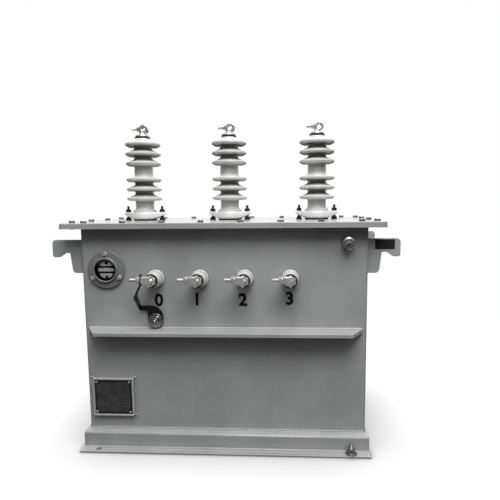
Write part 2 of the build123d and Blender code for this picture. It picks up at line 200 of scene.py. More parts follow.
def make_piece(name, body, finish, crease=32, edge=0.0):
    """Turns a skin into a piece of the transformer, with its finish, on the root body."""
    mesh = bpy.data.meshes.new(name)
    mesh.from_pydata([tuple(c) for c in body[0]], [], body[1])
    mesh.validate()
    mesh.materials.append(finish)
    mesh.shade_smooth()
    mesh.set_sharp_from_angle(angle=radians(crease))
    piece = bpy.data.objects.new(name, mesh)
    bpy.context.scene.collection.objects.link(piece)
    if edge:
        bevel = piece.modifiers.new("broken_edges", "BEVEL")
        bevel.width = edge
        bevel.segments = 3
        bevel.limit_method = "ANGLE"
        bevel.angle_limit = radians(40)
        bevel.harden_normals = True
    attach(piece, "root")
    return piece


hand = random.Random(11)


def lay_weld(body, start, end, size):
    """A hand-laid weld bead: a round run half sunk in the corner, with a ripple every few mm."""
    start, end = Vector(start), Vector(end)
    along = (end - start).normalized()
    across = along.orthogonal().normalized()
    beside = along.cross(across)
    ripples = max(2, int((end - start).length / (size * 1.5)))
    rings = []
    for ripple in range(ripples):
        swell = size * hand.uniform(0.88, 1.1)
        for part, share in ((0.0, 0.8), (0.35, 1.0), (0.8, 0.93)):
            centre = start.lerp(end, (ripple + part) / ripples)
            rings.append([centre + (across * cos(t) + beside * sin(t)) * swell * share
                          for t in (2 * pi * step / 9 for step in range(9))])
    skin(body, rings)


seam_bead, plate_bead = 0.0028, 0.0032
corner_gap = 0.008
seams = ([], [])
for side in (-1, 1):
    lay_weld(seams, (side * side_wall, 0, wall_foot), (side * side_wall, 0, wall_top - 0.002), seam_bead)
    for height in (wall_foot, wall_top):
        lay_weld(seams, (-side_wall + corner_gap, side * front_wall, height),
                 (side_wall - corner_gap, side * front_wall, height), plate_bead)
        lay_weld(seams, (side * side_wall, front_wall + corner_gap, height),
                 (side * side_wall, -front_wall - corner_gap, height), plate_bead)
make_piece("tank_seam_welds", seams, tank_grey, 50)


# ---- Rim, gasket and cover
# A flat steel frame is welded round the top of the walls. The pressed cover sits on a rubber and
# cork gasket and is drawn down by M12 bolts screwed through the rim, their ends showing below.
rim_low, rim_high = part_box("rim_flange")
cover_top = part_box("cover_plate")[1].z
bolt_pitch = 0.132
bolts_in_row = 8
bolt_setback = 0.024
side_bolts = (-0.235, -0.078, 0.078, 0.235)
m12_radius = 0.006
bolt_head_width, bolt_head_height = 0.019, 0.0075
shortest_end, longest_end = 0.0035, 0.005
dress_node("rim_flange", tank_grey, 0.001)
dress_node("cover_plate", tank_grey, 0.0006)


def black_rubber(name, colour, roughness):
    """Oil-proof rubber: nearly black, dull, with a fine grain and a paler bloom."""
    finish, shader = start_finish(name, colour, roughness)
    link = finish.node_tree.links.new
    place = add_node(finish, "ShaderNodeTexCoord").outputs["Object"]
    bloom = noise(finish, place, 60.0, 4.0, 0.6)
    paler = tuple(channel * 2.2 + 0.003 for channel in colour[:3]) + (1,)
    link(blend_colour(finish, spread(finish, bloom, 0.45, 0.75), colour, paler),
         shader.inputs["Base Color"])
    link(spread(finish, bloom, 0.3, 0.7, roughness - 0.08, roughness + 0.12), shader.inputs["Roughness"])
    grain = add_node(finish, "ShaderNodeBump", Height=noise(finish, place, 900.0, 2.0),
                     Strength=0.25, Distance=0.0003)
    link(grain.outputs["Normal"], shader.inputs["Normal"])
    return finish


gasket_black = black_rubber("gasket_rubber_black", (0.006, 0.006, 0.006, 1), 0.65)
dress_node("cover_gasket", gasket_black)


def bare_metal(name, colour, roughness, tarnish, grain=350.0, depth=0.0003, metallic=1.0):
    """Plated or bare metal: a fine grain, duller tarnished patches and brighter rubbed edges."""
    finish, shader = start_finish(name, colour, roughness, metallic)
    link = finish.node_tree.links.new
    place = add_node(finish, "ShaderNodeTexCoord").outputs["Object"]
    patches = noise(finish, place, 55.0, 5.0, 0.62)
    fine = noise(finish, place, grain, 3.0)
    metal = blend_colour(finish, spread(finish, patches, 0.42, 0.68, 0, 0.8), colour, tarnish)
    shape = add_node(finish, "ShaderNodeNewGeometry")
    soft = add_node(finish, "ShaderNodeBevel", {"samples": 4}, Radius=0.0008)
    bend = add_node(finish, "ShaderNodeVectorMath", {"operation": "DOT_PRODUCT"},
                    _0=soft.outputs["Normal"], _1=shape.outputs["Normal"])
    rubbed = tuple(min(1.0, channel * 1.25) for channel in colour[:3]) + (1,)
    link(blend_colour(finish, spread(finish, bend.outputs["Value"], 0.98, 0.8, 0, 0.7), metal, rubbed),
         shader.inputs["Base Color"])
    link(spread(finish, patches, 0.3, 0.7, roughness - 0.07, roughness + 0.13), shader.inputs["Roughness"])
    grit = add_node(finish, "ShaderNodeBump", Height=fine, Strength=0.3, Distance=depth)
    link(grit.outputs["Normal"], shader.inputs["Normal"])
    return finish


bolt_zinc = bare_metal("dull_zinc_plate", (0.34, 0.34, 0.335, 1), 0.42, (0.16, 0.155, 0.15, 1))


def turn_ring(radius, height, sides=0, count=30, limit=1.0):
    """One ring of points about +Z. With six sides, radius is half the width across the flats and
    the corners, on the X axis and every 60 degrees, are cut back to the limit."""
    points = []
    for step in range(count):
        turn = 2 * pi * step / count
        reach = min(radius / cos(turn % (pi / 3) - pi / 6), limit) if sides == 6 else radius
        points.append((reach * cos(turn), reach * sin(turn), height))
    return points


def hexagon(body, place, width, height, base=0.0):
    """A hexagon head or nut with its corners chamfered, standing on base."""
    half = width / 2
    cut = half * 0.11
    skin(body, [turn_ring(half * 0.96, base), turn_ring(half, base + cut * 0.6, 6),
                turn_ring(half, base + height - cut, 6),
                turn_ring(half, base + height, 6, limit=half * 0.985),
                turn_ring(half * 0.5, base + height)], place)


def washer(body, place, radius, thickness, base=0.0):
    soft = min(0.0006, thickness / 3)
    skin(body, [turn_ring(radius - soft, base), turn_ring(radius, base + soft),
                turn_ring(radius, base + thickness - soft),
                turn_ring(radius - soft, base + thickness)], place)


def thread(body, place, radius, base, length, pitch=0.00175):
    """A threaded end: a groove at each pitch and a chamfered tip."""
    rings = [turn_ring(radius * 0.9, base)]
    turns = max(1, int((length - 0.0015) / pitch))
    for turn in range(turns):
        rings.append(turn_ring(radius, base + (turn + 0.35) * pitch))
        rings.append(turn_ring(radius * 0.87, base + (turn + 0.95) * pitch))
    rings.append(turn_ring(radius * 0.97, base + length - 0.0014))
    rings.append(turn_ring(radius * 0.78, base + length))
    skin(body, rings, place)


def tilt(angle):
    return Matrix.Rotation(angle, 4, "Z")


cover_bolts = ([], [])
spots = []
for along in range(bolts_in_row):
    x = (along - (bolts_in_row - 1) / 2) * bolt_pitch
    spots += [(x, rim_low.y + bolt_setback), (x, rim_high.y - bolt_setback)]
for y in side_bolts:
    spots += [(rim_low.x + bolt_setback, y), (rim_high.x - bolt_setback, y)]
for x, y in spots:
    on_top = Matrix.Translation((x, y, cover_top)) @ tilt(hand.uniform(0, pi))
    hexagon(cover_bolts, on_top, bolt_head_width, bolt_head_height)
    below = Matrix.Translation((x, y, rim_low.z)) @ Matrix.Rotation(pi, 4, "X") @ tilt(hand.uniform(0, pi))
    thread(cover_bolts, below, m12_radius, -0.001, hand.uniform(shortest_end, longest_end))
make_piece("cover_bolts", cover_bolts, bolt_zinc)


# ---- Base rails
# Two rails of 5 mm sheet folded to a Z, welded under the floor plate at front and back. The feet
# have a hole at each end for the platform bolts; one front hole carries the earthing bolt.
rail_low, rail_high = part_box("front_base_rail")
hole_from_end, hole_from_edge = 0.059, 0.019
foot_sheet = 0.005
rail_bead = 0.0042
dress_node("front_base_rail", tank_grey, 0.0009)
dress_node("back_base_rail", tank_grey, 0.0009)
ledge_welds = ([], [])
for side in (-1, 1):
    lay_weld(ledge_welds, (-side_wall + 0.004, side * front_wall, rail_high.z),
             (side_wall - 0.004, side * front_wall, rail_high.z), rail_bead)
# Painted highlight: the rail and stiffener beads take a lighter copy of the grey enamel, standing in for
# light along their tops.
weld_highlight_grey = tank_paint("weld_highlight_grey_enamel", (0.47, 0.473, 0.475, 1), worn_and_highlit_grey)
make_piece("rail_welds", ledge_welds, weld_highlight_grey, 50)

# The earthing bolt sits a few mm to the left of its hole's middle.
bolt_shift = 0.005
wide_washer, narrow_washer, nut_height = 0.003, 0.0028, 0.012
earthing_bolt = ([], [])
upright = Matrix.Translation((rail_high.x - hole_from_end - bolt_shift, rail_low.y + hole_from_edge,
                              foot_sheet))
washer(earthing_bolt, upright, 0.020, wide_washer)
washer(earthing_bolt, upright, 0.0145, narrow_washer, wide_washer)
hexagon(earthing_bolt, upright, 0.022, nut_height, wide_washer + narrow_washer)
thread(earthing_bolt, upright, 0.0065, wide_washer + narrow_washer + nut_height, 0.019)
make_piece("earthing_bolt", earthing_bolt, bolt_zinc)


# ---- Stiffening bars
# Flat bars set on edge across the front and back walls to stop them bulging, their free corners
# cut back. Each is welded along its top and, in short runs, along its underside.
bar_low, bar_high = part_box("front_stiffener")
dress_node("front_stiffener", tank_grey, 0.001)
dress_node("back_stiffener", tank_grey, 0.001)
top_bead, under_bead = 0.0042, 0.0036
short_runs, run_length, run_pitch, first_run = 7, 0.05, 0.143, 0.02
bar_welds = ([], [])
for side in (-1, 1):
    y = side * front_wall
    lay_weld(bar_welds, (bar_low.x + 0.002, y, bar_high.z + 0.0005),
             (bar_high.x - 0.002, y, bar_high.z + 0.0005), top_bead)
    for run in range(short_runs):
        x = bar_low.x + first_run + run * run_pitch
        lay_weld(bar_welds, (x, y, bar_low.z), (x + run_length, y, bar_low.z), under_bead)
make_piece("stiffener_welds", bar_welds, weld_highlight_grey, 50)


# ---- Lifting lugs
# Hooked plates of 12 mm steel, flame cut and welded edge-on to the side walls near the corners.
# A sling bears in the notch on the underside. The right front one carries a small blank label.
lug_names = [f"lifting_lug_{end}_{side}" for end in ("front", "back") for side in ("left", "right")]
side_bead, end_bead = 0.0042, 0.004
lug_welds = ([], [])
for name in lug_names:
    dress_node(name, tank_grey, 0.0014)
    low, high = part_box(name)
    x = side_wall if high.x > 0 else -side_wall
    for y in (low.y, high.y):
        lay_weld(lug_welds, (x, y, low.z + 0.001), (x, y, high.z - 0.001), side_bead)
    for height in (high.z, low.z):
        lay_weld(lug_welds, (x, low.y, height), (x, high.y, height), end_bead)
make_piece("lug_welds", lug_welds, tank_grey, 50)

lug_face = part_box("lifting_lug_front_right")[0].y
label_left, label_right = 0.5145, 0.580
label_foot, label_head = 0.6965, 0.7295


def dark_plate(name, colour, roughness):
    """Thin dark anodised plate: brushed lengthwise, slightly faded in patches."""
    finish, shader = start_finish(name, colour, roughness, 0.3)
    link = finish.node_tree.links.new
    place = add_node(finish, "ShaderNodeTexCoord").outputs["Object"]
    grain = add_node(finish, "ShaderNodeMapping", Vector=place)
    grain.inputs["Scale"].default_value = (18, 18, 900)
    brushed = noise(finish, grain.outputs["Vector"], 1.0, 3.0)
    faded = tuple(channel * 1.7 + 0.01 for channel in colour[:3]) + (1,)
    patches = noise(finish, place, 38.0, 4.0, 0.6)
    link(blend_colour(finish, spread(finish, patches, 0.4, 0.72, 0, 0.8), colour, faded),
         shader.inputs["Base Color"])
    link(spread(finish, patches, 0.3, 0.7, roughness - 0.08, roughness + 0.1), shader.inputs["Roughness"])
    lines = add_node(finish, "ShaderNodeBump", Height=brushed, Strength=0.2, Distance=0.0002)
    link(lines.outputs["Normal"], shader.inputs["Normal"])
    return finish


def flat_plate(body, left, foot, right, head, back, thickness):
    """A thin upright plate that faces the front, its corners rounded a little."""
    soft = min(right - left, head - foot) * 0.06
    points = []
    for x, z, turn in ((right - soft, head - soft, 0), (left + soft, head - soft, 90),
                       (left + soft, foot + soft, 180), (right - soft, foot + soft, 270)):
        for step in range(4):
            t = radians(turn + step * 30)
            points.append((x + soft * cos(t), z + soft * sin(t)))
    skin(body, [[(x, y, z) for x, z in points] for y in (back, back - thickness)])


label_black = dark_plate("label_black", (0.004, 0.004, 0.004, 1), 0.8)
label = ([], [])
flat_plate(label, label_left, label_foot, label_right, label_head, lug_face + 0.0002, 0.0008)
make_piece("blank_lug_label", label, label_black, 30, 0.0002)


# ---- High-voltage bushings
# Three turned and glazed porcelains with two groups of three sheds, cemented into cast clamp
# flanges that dish up at the bolt ears. Each is held to the cover by two studs over a gasket.
hv_places = [(number, (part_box(f"hv_porcelain_{number}")[0].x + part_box(f"hv_porcelain_{number}")[1].x) / 2)
             for number in (1, 2, 3)]
shed_heights = (0.0855, 0.1215, 0.1575, 0.2185, 0.2545, 0.2905)
shed_reach = 0.067
core_reach = 0.0355
porcelain_top = 0.312
ear_offset = 0.067
flange_top = 0.033
lower_washer, lower_nut = 0.0025, 0.009
upper_washer, upper_nut = 0.0022, 0.0085
top_washer = 0.006
eye_offset, eye_rise = 0.007, 0.031
eye_bore, eye_reach, eye_width = 0.007, 0.017, 0.024


def glazed_porcelain(name, colour):
    """Grey-white glaze over porcelain: glossy, a little cloudy, with fine pits, and painted shade darkening
    it between close sheds.
    """
    finish, shader = start_finish(name, colour, 0.16)
    shader.inputs["Coat Weight"].default_value = 0.6
    shader.inputs["Coat Roughness"].default_value = 0.06
    link = finish.node_tree.links.new
    place = add_node(finish, "ShaderNodeTexCoord").outputs["Object"]
    clouds = noise(finish, place, 22.0, 4.0, 0.6)
    cooler = tuple(channel * 0.9 for channel in colour[:3]) + (1,)
    glaze = blend_colour(finish, spread(finish, clouds, 0.35, 0.7), colour, cooler)
    # Painted shade: AO darkens the glaze to a dark grey between close sheds and round the core.
    shade_occlusion = add_node(finish, "ShaderNodeAmbientOcclusion", {"samples": 8}, Distance=0.045)
    shed_shade = tuple(channel * 0.22 for channel in colour[:3]) + (1,)
    glaze = blend_colour(finish, spread(finish, shade_occlusion.outputs["AO"], 0.85, 0.35, 0, 0.85), glaze, shed_shade)
    pits = add_node(finish, "ShaderNodeTexVoronoi", Vector=place, Scale=260.0)
    spots = spread(finish, pits.outputs["Distance"], 0.09, 0.05, 0, 0.5)
    link(blend_colour(finish, spots, glaze, (0.25, 0.23, 0.2, 1)), shader.inputs["Base Color"])
    link(spread(finish, clouds, 0.3, 0.75, 0.1, 0.26), shader.inputs["Roughness"])
    waves = add_node(finish, "ShaderNodeBump", Height=noise(finish, place, 90.0, 2.0),
                     Strength=0.12, Distance=0.0008)
    link(waves.outputs["Normal"], shader.inputs["Normal"])
    return finish


def corner_arc(before, here, after, radius, steps):
    """The centre of the arc that rounds a corner, and the directions from it along the arc."""
    here = Vector(here)
    back = (Vector(before) - here).normalized()
    ahead = (Vector(after) - here).normalized()
    half = back.angle(ahead) / 2
    centre = here + (back + ahead).normalized() * radius / sin(half)
    start = here + back * radius / tan(half) - centre
    end = here + ahead * radius / tan(half) - centre
    sweep = start.angle_signed(end)
    turn = atan2(start.y, start.x)
    angles = [turn - sweep * step / steps for step in range(steps + 1)]
    return centre, [Vector((cos(angle), sin(angle))) for angle in angles]


def rounded(corners, steps=6):
    """A line through (x, y, radius) corners, each rounded by an arc of its radius."""
    line = []
    for place, (x, y, radius) in enumerate(corners):
        if radius == 0 or place in (0, len(corners) - 1):
            line.append(Vector((x, y)))
            continue
        centre, arc = corner_arc(corners[place - 1][:2], (x, y), corners[place + 1][:2], radius, steps)
        line.extend(centre + radius * direction for direction in arc)
    return line


def turned(body, line, place, count=72):
    """Turns a line of (radius, height) points about +Z."""
    skin(body, [turn_ring(max(radius, 0.0002), height, 0, count) for radius, height in line], place)


def turned_hollow(body, line, place, count):
    """Turns a closed line of (radius, height) points about +Z, round an open middle."""
    skin(body, [[(radius * cos(turn), radius * sin(turn), height) for radius, height in line]
                for turn in (2 * pi * step / count for step in range(count))], place, True)


porcelain_white = glazed_porcelain("grey_white_glaze", (0.70, 0.70, 0.685, 1))
flange_cast = bare_metal("cast_aluminium", (0.88, 0.88, 0.87, 1), 0.42, (0.76, 0.76, 0.75, 1),
                         260.0, 0.0005, 0.25)
stud_steel = bare_metal("weathered_steel", (0.06, 0.058, 0.056, 1), 0.45, (0.02, 0.019, 0.018, 1))
stud_bright = bare_metal("bright_steel", (0.86, 0.86, 0.85, 1), 0.3, (0.5, 0.5, 0.49, 1), 300.0, 0.0002)
dress_node("hv_base_gaskets", gasket_black)
dress_node("hv_top_washers", gasket_black)

porcelain_line = [(0.028, 0.006, 0), (0.0375, 0.006, 0), (0.0375, flange_top, 0), (0.045, flange_top, 0.0004),
                  (0.045, flange_top + 0.005, 0.0018), (core_reach, flange_top + 0.013, 0.009)]
for tip in shed_heights:
    porcelain_line += [(core_reach, tip - 0.009, 0.004), (0.058, tip - 0.009, 0.006),
                       (shed_reach, tip - 0.0035, 0.003), (shed_reach, tip + 0.0035, 0.003)]
    if tip < shed_heights[-1]:
        porcelain_line += [(core_reach, tip + 0.015, 0.006)]
porcelain_line += [(0.031, porcelain_top - 0.003, 0.004), (0.0305, porcelain_top, 0.0012),
                   (0.02, porcelain_top, 0)]


def flange_reach(turn):
    """How far the flange's outline is from its middle, in the direction of turn."""
    turn = abs((turn + pi / 2) % pi - pi / 2)
    ear, middle = 0.016, 0.052
    lean = acos((middle - ear) / ear_offset)
    if turn >= lean:
        return middle
    if turn >= atan2(ear * sin(lean), ear_offset + ear * cos(lean)):
        return middle / cos(turn - lean)
    return ear_offset * cos(turn) + sqrt(max(0, ear ** 2 - (ear_offset * sin(turn)) ** 2))


def flange_section(turn):
    """The cast section at one direction, from the bore out to the edge and back underneath."""
    edge = flange_reach(turn)

    def under(reach):
        """The height of the underside, which dishes up from the gasket to the ears."""
        return 0.005 + max(0, reach - 0.044) * 19 / 39

    def over(reach):
        """The height of the top, which steps down past the bore and slopes off at the ears' ends."""
        return flange_top - max(0, reach - 0.077) - 0.0008 * (reach > 0.047)

    line = [(0.0382, flange_top), (0.0465, flange_top), (0.0475, over(0.0475)),
            (edge - 0.0035, over(edge - 0.0035)), (edge - 0.001, over(edge) - 0.001),
            (edge, over(edge) - 0.0035), (edge, under(edge) + 0.0022),
            (edge - 0.0008, under(edge) + 0.0006), (edge - 0.0026, under(edge - 0.0026)),
            (0.0445, under(0.0445)), (0.0425, 0.005), (0.0382, 0.005)]
    return [(reach * cos(turn), reach * sin(turn), height) for reach, height in line]


def ring_about(body, place, bore, reach, width, soft, count=48):
    """A ring with rounded edges, turned about +Z and centred on place."""
    half = width / 2
    line = rounded([(bore, 0, 0), (bore, half, soft), (reach, half, soft), (reach, -half, soft),
                    (bore, -half, soft), (bore, 0, 0)], 4)[:-1]
    turned_hollow(body, line, place, count)


for number, x in hv_places:
    foot = Matrix.Translation((x, 0, cover_top))
    porcelain = ([], [])
    turned(porcelain, rounded(porcelain_line), foot, 96)
    piece = make_piece(f"hv_porcelain_turned_{number}", porcelain, porcelain_white, 60)
    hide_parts(f"hv_porcelain_{number}")

    flange = ([], [])
    skin(flange, [flange_section(2 * pi * step / 120) for step in range(120)], foot, True)
    piece = make_piece(f"hv_flange_cast_{number}", flange, flange_cast, 40)
    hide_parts(f"hv_base_flange_{number}")

    studs = ([], [])
    for side in (-1, 1):
        ear = foot @ Matrix.Translation((side * ear_offset, 0, 0)) @ tilt(hand.uniform(0, pi))
        washer(studs, ear, 0.0125, lower_washer)
        hexagon(studs, ear, 0.0185, lower_nut, lower_washer)
        thread(studs, ear, m12_radius, 0.003, 0.034)
        washer(studs, ear, 0.0115, upper_washer, flange_top)
        hexagon(studs, ear, 0.0175, upper_nut, flange_top + upper_washer)
        thread(studs, ear, 0.005, flange_top + 0.0105, 0.0125)
    make_piece(f"hv_flange_studs_{number}", studs, stud_steel)

    terminal = ([], [])
    seat = porcelain_top + top_washer
    cap_line = [(0.003, seat, 0), (0.028, seat, 0.0008), (0.028, seat + 0.006, 0.003),
                (0.013, seat + 0.0105, 0.002), (0.0115, seat + 0.022, 0), (0.003, seat + 0.022, 0)]
    turned(terminal, rounded(cap_line, 4), foot, 60)
    eye = foot @ Matrix.Translation((eye_offset, 0, seat + eye_rise)) @ Matrix.Rotation(pi / 2, 4, "X")
    ring_about(terminal, eye, eye_bore, eye_reach, eye_width, 0.003)
    arm = foot @ Matrix.Translation((0, 0, seat + eye_rise)) @ Matrix.Rotation(-pi / 2, 4, "Y")
    thread(terminal, arm, 0.0058, 0.007, 0.033)
    hexagon(terminal, arm, 0.0175, 0.0085, 0.0105)
    washer(terminal, arm, 0.0095, 0.002, 0.019)
    piece = make_piece(f"hv_terminal_turned_{number}", terminal, stud_bright)
    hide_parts(f"hv_terminal_{number}")


# ---- Low-voltage bushings
# Four short porcelains in the front wall. A brass stem passes through each and carries a rubber
# washer, a hexagon nut and a clamp that comes to a point below, with an M12 stud at its left.
lv_places = [(number, (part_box(f"lv_porcelain_{number}")[0].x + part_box(f"lv_porcelain_{number}")[1].x) / 2)
             for number in range(4)]
lv_height = (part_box("lv_porcelain_0")[0].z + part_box("lv_porcelain_0")[1].z) / 2
stud_rise = 0.007
nut_width, nut_back, nut_front, clamp_front = 0.034, 0.066, 0.075, 0.099
side_washer = 0.0024
clamp_corners = ((0.004, 0.018), (-0.024, 0.018), (-0.024, -0.004), (0.004, -0.019))
packing_at_strap = 0.003
terminal_bright = bare_metal("tinned_brass", (0.84, 0.84, 0.825, 1), 0.24, (0.5, 0.5, 0.49, 1),
                             300.0, 0.0002, 0.68)
dress_node("lv_washers", gasket_black)
lv_line = [(0.012, 0, 0), (0.030, 0, 0), (0.030, 0.015, 0.004), (0.023, 0.0155, 0.002), (0.023, 0.023, 0.002),
           (0.028, 0.0235, 0.004), (0.028, 0.035, 0.004), (0.023, 0.062, 0.002), (0.010, 0.062, 0)]


def soft_block(body, corners, back, front, soft, place):
    """A block that stands out along -Y, its outline through (x, z) corners, all edges rounded."""
    radius = soft * 1.2
    arcs = [corner_arc(corners[spot - 1], corners[spot], corners[(spot + 1) % len(corners)], radius, 4)
            for spot in range(len(corners))]
    steps = [(soft * (1 - cos(share * pi / 8)), soft * (1 - sin(share * pi / 8))) for share in range(5)]
    rows = [(back + depth, inset) for depth, inset in steps]
    rows += [(front - depth, inset) for depth, inset in reversed(steps)]
    rings = []
    for depth, inset in rows:
        points = [centre + (radius - inset) * direction for centre, arc in arcs for direction in arc]
        rings.append([(x, -depth, z) for x, z in points])
    skin(body, rings, place)


for number, x in lv_places:
    wall_spot = Matrix.Translation((x, front_wall, lv_height))
    outwards = wall_spot @ Matrix.Rotation(pi / 2, 4, "X")
    body = ([], [])
    turned(body, rounded(lv_line, 5), outwards, 72)
    piece = make_piece(f"lv_porcelain_turned_{number}", body, porcelain_white, 60)
    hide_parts(f"lv_porcelain_{number}")

    terminal = ([], [])
    hexagon(terminal, outwards @ tilt(pi / 2), nut_width, nut_front - nut_back, nut_back)
    thread(terminal, outwards, 0.009, nut_front, 0.0125, 0.002)
    soft_block(terminal, clamp_corners, nut_front, clamp_front, 0.0022, wall_spot)
    piece = make_piece(f"lv_terminal_clamp_{number}", terminal, terminal_bright, 35)
    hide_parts(f"lv_terminal_{number}")

    side_stud = ([], [])
    shift = packing_at_strap if number == 0 else 0.0
    clamp_left, clamp_middle = clamp_corners[1][0], (nut_front + clamp_front) / 2
    arm = (wall_spot @ Matrix.Translation((clamp_left, -clamp_middle, stud_rise))
           @ Matrix.Rotation(-pi / 2, 4, "Y"))
    thread(side_stud, arm, m12_radius, -0.001, 0.037 + shift)
    washer(side_stud, arm, 0.0118, side_washer, shift)
    hexagon(side_stud, arm, 0.0212, 0.0105, shift + side_washer)
    make_piece(f"lv_side_stud_{number}", side_stud, terminal_bright, 35)

# The four terminals are told apart by plain stencilled numbers on the wall below them.
# Matt black for the stencilled numbers and gauge marks, and for the painted shade round the rating plate.
stencil_and_shade_black = black_rubber("stencil_and_painted_shade_black", (0.002, 0.002, 0.002, 1), 0.7)
stencil_and_shade_black.node_tree.nodes["Principled BSDF"].inputs["Specular IOR Level"].default_value = 0.12
number_places = ((-0.2227, 0.523), (-0.0901, 0.5265), (0.0685, 0.5245), (0.2278, 0.529))
for number, (x, z) in enumerate(number_places):
    letter = bpy.data.curves.new(f"terminal_number_{number}", "FONT")
    letter.body = str(number)
    letter.size = 0.0595
    letter.align_x = "CENTER"
    letter.align_y = "CENTER"
    letter.offset = 0.002
    letter.resolution_u = 4
    letter.extrude = 0.0001
    letter.materials.append(stencil_and_shade_black)
    piece = bpy.data.objects.new(f"terminal_number_{number}", letter)
    bpy.context.scene.collection.objects.link(piece)
    piece.matrix_world = Matrix.Translation((x, front_wall - 0.0002, z)) @ Matrix.Rotation(pi / 2, 4, "X")
    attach(piece, "root")


# ---- Neutral strap and earthing boss
# A bent copper bar, dulled by weather, joins the first low-voltage stud to a boss welded on the
# wall, where one bolt with wide washers and a nut holds it.
strap_copper = bare_metal("dull_strap", (0.085, 0.083, 0.08, 1), 0.3, (0.03, 0.029, 0.027, 1))
dress_node("strap_boss", tank_grey, 0.0006)
dress_node("neutral_strap", strap_copper, 0.0006)
boss_low, boss_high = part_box("strap_boss")
strap_sheet = 0.003
boss_washer, boss_nut = 0.003, 0.011
bolt_rubbed = bare_metal("bolt_rubbed", (0.5, 0.49, 0.48, 1), 0.22, (0.16, 0.155, 0.15, 1))
boss_bolt = ([], [])
boss_x, boss_z = (boss_low.x + boss_high.x) / 2, (boss_low.z + boss_high.z) / 2
outwards = Matrix.Translation((boss_x, boss_low.y - strap_sheet, boss_z)) @ Matrix.Rotation(pi / 2, 4, "X")
washer(boss_bolt, outwards, 0.0245, boss_washer)
washer(boss_bolt, outwards, 0.0175, boss_washer, boss_washer)
hexagon(boss_bolt, outwards, 0.022, boss_nut, 2 * boss_washer)
thread(boss_bolt, outwards, 0.0065, 2 * boss_washer + boss_nut, 0.009)
make_piece("boss_bolt", boss_bolt, bolt_rubbed)


# ---- Oil level gauge
# A round flange bolted over a sight hole, with a raised bezel and a thick glass. Behind the glass
# is a pale dial with two level bars and two small round marks.
gauge_low, gauge_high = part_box("gauge_ring")
gauge_x = (gauge_low.x + gauge_high.x) / 2
gauge_z = (gauge_low.z + gauge_high.z) / 2
gauge_face = Matrix.Translation((gauge_x, front_wall, gauge_z)) @ Matrix.Rotation(pi / 2, 4, "X")
gauge_grey = tank_paint("gauge_grey_enamel", (0.19, 0.192, 0.194, 1), (0.32, 0.32, 0.32, 1), 0.36)
bezel = ([], [])
bezel_line = [(0.030, 0.0, 0), (0.064, 0.0, 0), (0.064, 0.010, 0.0025), (0.0425, 0.0103, 0.001),
              (0.042, 0.019, 0.0025), (0.0385, 0.019, 0.0012), (0.0371, 0.0170, 0.0006), (0.037, 0.010, 0),
              (0.030, 0.010, 0), (0.030, 0.0, 0)]
turned_hollow(bezel, rounded(bezel_line, 4)[:0:-1], gauge_face, 96)
piece = make_piece("gauge_bezel", bezel, gauge_grey, 40)
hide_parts("gauge_ring")

# Two thin black rubber rings: a seal at the glass's front edge and a lining of the bore behind the glass;
# both are black as painted shade for the dark inside of the window.
window_shade_rings = ([], [])
for bore, reach, low, high in ((0.0362, 0.0371, 0.0152, 0.0164), (0.0288, 0.0301, 0.0003, 0.0098)):
    turned_hollow(window_shade_rings, [(bore, low), (bore, high), (reach, high), (reach, low)], gauge_face, 96)
make_piece("gauge_window_shade_rings", window_shade_rings, gasket_black)

dial_pale, dial_shader = start_finish("dial_pale", (0.62, 0.62, 0.61, 1), 0.5)
dial_place = add_node(dial_pale, "ShaderNodeTexCoord").outputs["Object"]
dial_clouds = noise(dial_pale, dial_place, 40.0, 4.0)
dial_tones = (0.52, 0.52, 0.51, 1), (0.72, 0.72, 0.7, 1)
dial_pale.node_tree.links.new(blend_colour(dial_pale, dial_clouds, *dial_tones),
                              dial_shader.inputs["Base Color"])
dial = ([], [])
turned(dial, [(0.001, 0.0006), (0.029, 0.0006), (0.029, 0.0026), (0.001, 0.0026)], gauge_face, 72)
make_piece("gauge_dial", dial, dial_pale)

bar_reach, bar_half = 0.026, 0.0034
mark_back, mark_front = 0.0024, 0.0036
marks = ([], [])
for height in (0.0098, -0.0088):
    skin(marks, [[(-bar_reach, height - bar_half, depth), (bar_reach, height - bar_half, depth),
                  (bar_reach, height + bar_half, depth), (-bar_reach, height + bar_half, depth)]
                 for depth in (mark_back, mark_front)], gauge_face)
for reach, height in ((0.0055, 0.0235), (0.0044, -0.0243)):
    turned(marks, [(0.001, mark_back), (reach, mark_back), (reach, mark_front), (0.001, mark_front)],
           gauge_face @ Matrix.Translation((0, height, 0)), 30)
make_piece("gauge_marks", marks, stencil_and_shade_black)

gauge_glass, glass_shader = start_finish("gauge_glass_clear", (0.92, 0.94, 0.94, 1), 0.05)
glass_shader.inputs["Transmission Weight"].default_value = 1.0
glass_shader.inputs["IOR"].default_value = 1.2
glass_place = add_node(gauge_glass, "ShaderNodeTexCoord").outputs["Object"]
glass_clouds = noise(gauge_glass, glass_place, 30.0, 3.0)
gauge_glass.node_tree.links.new(spread(gauge_glass, glass_clouds, 0.3, 0.8, 0.03, 0.14),
                                glass_shader.inputs["Roughness"])
dress_node("gauge_window", gauge_glass)

gauge_bolts = ([], [])
for turn, reach in ((90, 0.0555), (211, 0.0535), (331, 0.0535)):
    spot = gauge_face @ Matrix.Translation((reach * cos(radians(turn)), reach * sin(radians(turn)), 0.010))
    washer(gauge_bolts, spot, 0.0075, 0.0014)
    hexagon(gauge_bolts, spot @ tilt(hand.uniform(0, pi)), 0.012, 0.0075, 0.0014)
make_piece("gauge_bolts", gauge_bolts, terminal_bright)


